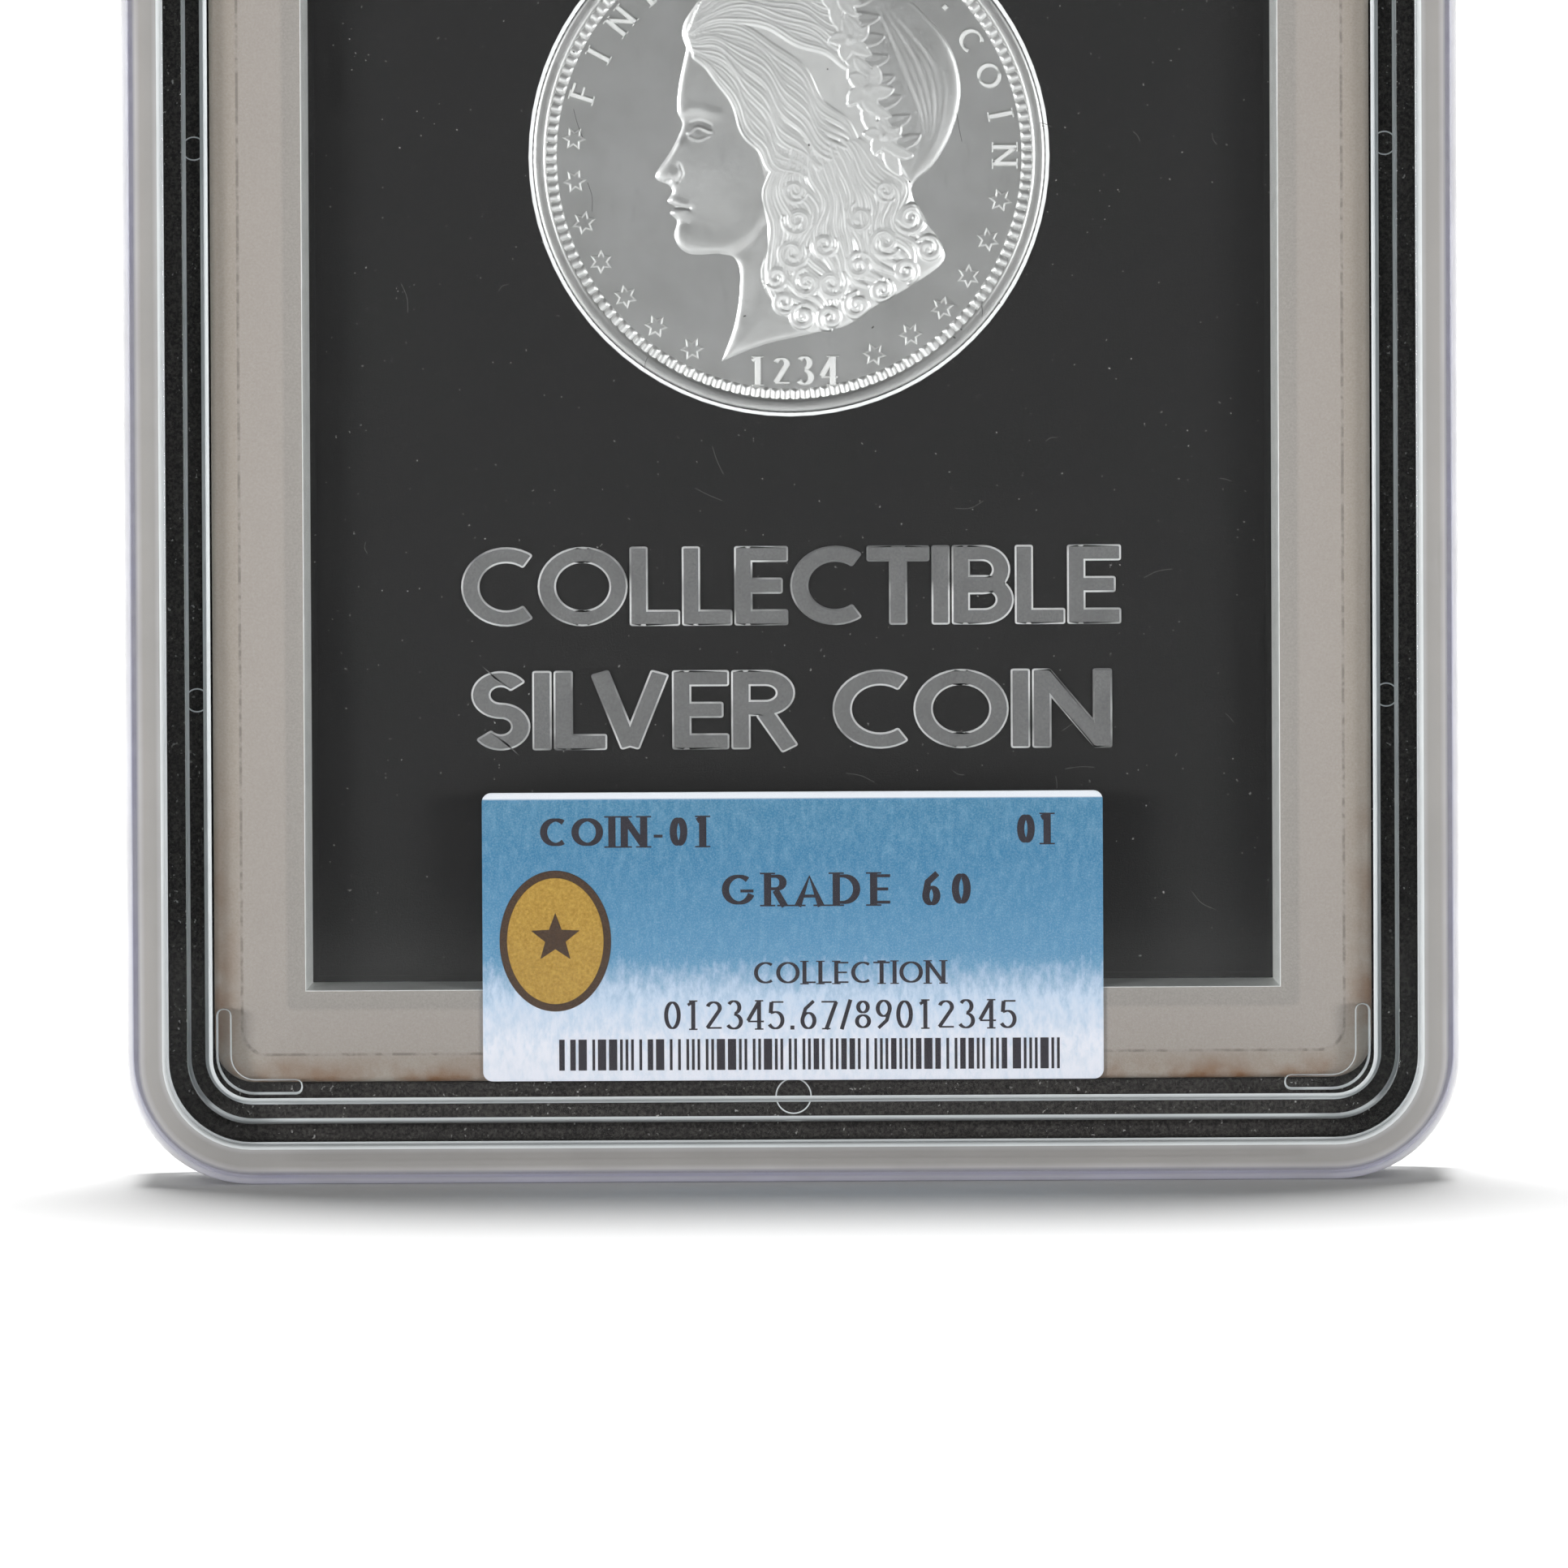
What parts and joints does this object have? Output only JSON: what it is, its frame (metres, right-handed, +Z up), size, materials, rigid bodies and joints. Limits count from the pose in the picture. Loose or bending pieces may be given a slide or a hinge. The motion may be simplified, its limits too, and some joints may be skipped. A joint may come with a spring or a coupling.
{
  "type": "graded coin slab",
  "caption": "Clear welded display case holding a frosted two-part coin holder in a black foam gasket, with a silver coin in a black insert and a small label.",
  "frame": {"origin": "centre of the slab's footprint, on the surface that its bottom edge stands on", "axes": "+Z up the face from the bottom edge, +X to the viewer's right, -Y out of the front face"},
  "size_m": [0.0986, 0.016, 0.145],
  "materials": {
    "clear_case": "clear polished polystyrene",
    "black_foam": "matt closed-cell foam with fine pale flecks",
    "frosted_holder": "clear hard plastic with a frosted, slightly yellowed border",
    "black_insert": "satin black card",
    "silver": "frosted silver with lustrous fields",
    "blue_label": "coated paper, mottled blue fading to near white",
    "gold_foil": "printed gold foil"
  },
  "bodies": {
    "slab": {"case_front_shell": "clear_case", "case_rear_shell": "clear_case", "foam_gasket": "black_foam", "holder_front_shell": "frosted_holder", "holder_rear_shell": "frosted_holder", "coin_insert": "black_insert", "grade_label": "blue_label", "label_seal": "gold_foil"},
    "coin": {"coin": "silver"}
  },
  "joints": [
    {"name": "coin_turn", "type": "hinge", "parent": "slab", "child": "coin", "pos_m": [0, 0, 0.0758], "axis": [0, -1, 0], "continuous": true}
  ]
}
